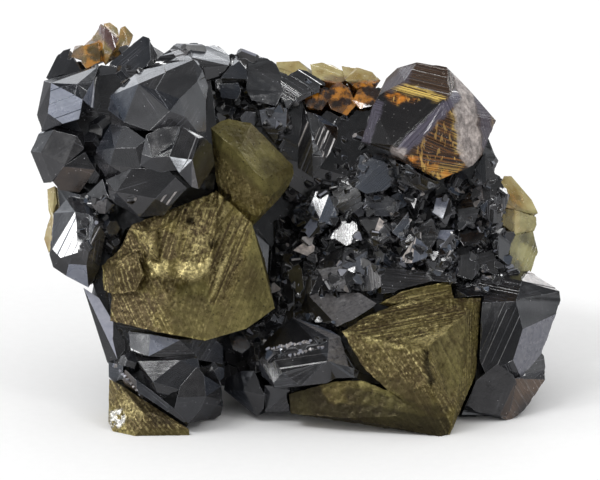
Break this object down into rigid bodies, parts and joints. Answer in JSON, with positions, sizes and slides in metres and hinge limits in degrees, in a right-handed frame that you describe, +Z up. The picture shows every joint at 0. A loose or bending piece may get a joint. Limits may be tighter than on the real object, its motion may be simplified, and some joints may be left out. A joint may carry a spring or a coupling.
{
  "type": "sphalerite specimen",
  "caption": "Natural cluster of dark glassy sphalerite crystals with brassy chalcopyrite and amber crystals grown in, which stands by itself on flat facets.",
  "frame": {"origin": "middle of the specimen's outer box in plan, on the floor that its feet rest on", "axes": "+X to the right along the longest side, -Y out of the front toward the viewer, +Z up"},
  "size_m": [0.0534, 0.0348, 0.0369],
  "materials": {
    "black_sphalerite": "glossy",
    "amber_sphalerite": "glossy",
    "honey_sphalerite": "glossy",
    "chalcopyrite": "satin"
  },
  "bodies": {
    "root": {"sphalerite_cluster": "black_sphalerite", "amber_crystal": "amber_sphalerite", "honey_crystals_tip": "honey_sphalerite", "honey_crystals_top": "honey_sphalerite", "honey_crystals_right": "honey_sphalerite", "honey_crystals_left": "honey_sphalerite", "chalcopyrite_left": "chalcopyrite", "chalcopyrite_right": "chalcopyrite", "chalcopyrite_foot": "chalcopyrite"}
  },
  "joints": []
}
